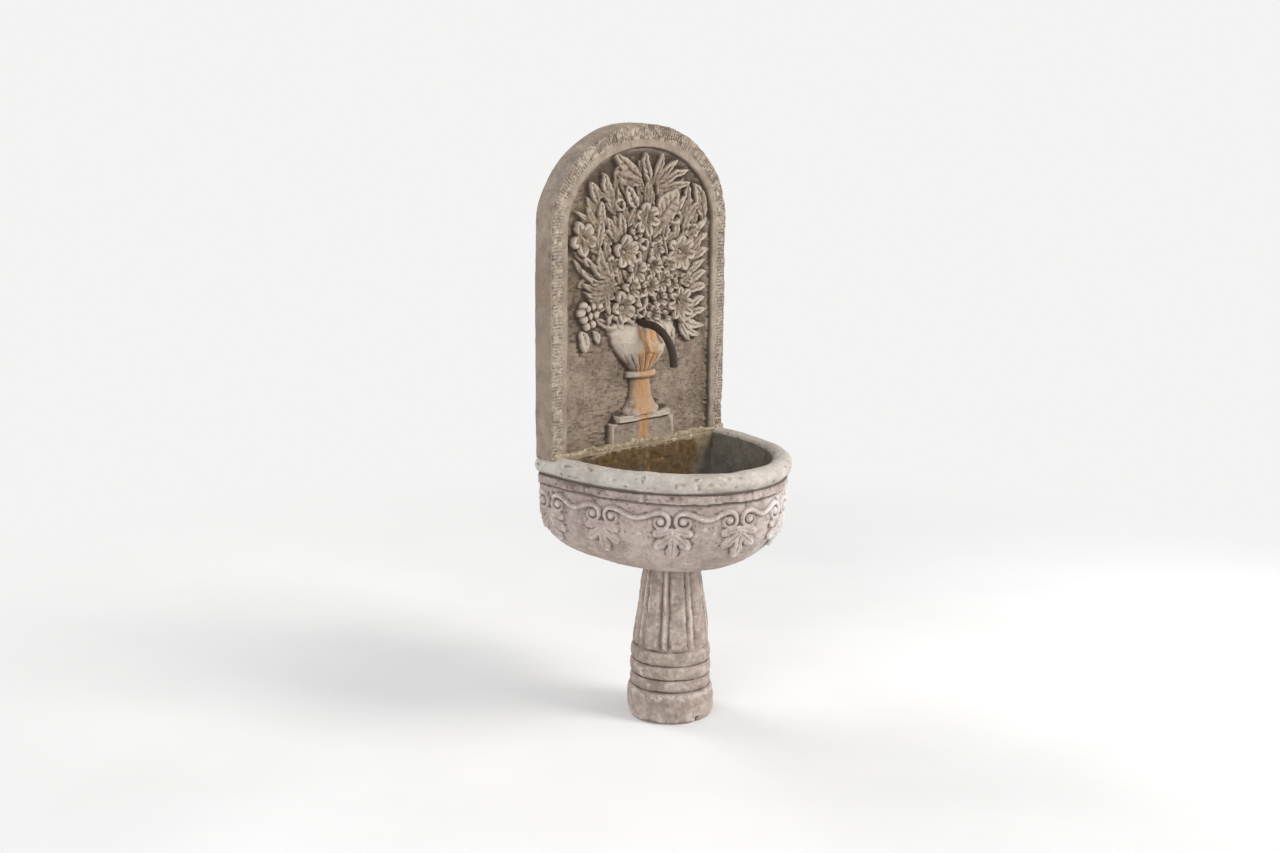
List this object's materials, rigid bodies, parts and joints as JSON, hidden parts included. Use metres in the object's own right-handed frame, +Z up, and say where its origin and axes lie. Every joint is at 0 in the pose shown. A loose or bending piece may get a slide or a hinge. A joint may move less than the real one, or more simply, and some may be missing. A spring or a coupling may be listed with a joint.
{
  "type": "stone wall fountain",
  "caption": "Arched carved stone back panel with a bent spout over a half-round basin with a rolled lip and frieze, on a reeded pedestal with a lift-out overflow.",
  "frame": {"origin": "on the ground, under the middle of the overall box", "axes": "+Z up, front with the basin towards -Y, wall behind the panel at +Y"},
  "size_m": [0.8, 0.6477, 1.9685],
  "materials": {
    "panel_stone": "weathered carved limestone",
    "basin_stone": "worn limestone with lichen",
    "pedestal_stone": "worn limestone",
    "mortar": "rough lime mortar",
    "dark_iron": "dark oxidised pipe",
    "brass": "dull brass",
    "steel": "plain bar",
    "rubber": "soft seal"
  },
  "bodies": {
    "fountain": {"back_panel": "panel_stone", "basin": "basin_stone", "pedestal": "pedestal_stone", "panel_bed": "mortar", "pedestal_bed": "mortar", "spout_packing": "mortar", "panel_dowels": "steel", "pedestal_dowels": "steel", "wall_anchors": "steel", "spout": "dark_iron", "spout_washer": "brass", "spout_lock_nut": "brass", "waste_body": "brass", "waste_gasket": "rubber", "waste_washer": "brass", "waste_nut": "brass", "drain_pipe": "brass"},
    "overflow": {"standpipe": "brass", "standpipe_seal": "rubber", "pull_bar": "brass"}
  },
  "joints": [
    {"name": "overflow_lift", "type": "slide", "parent": "fountain", "child": "overflow", "axis": [0, 0, 1], "range_m": [0, 0.25]}
  ]
}
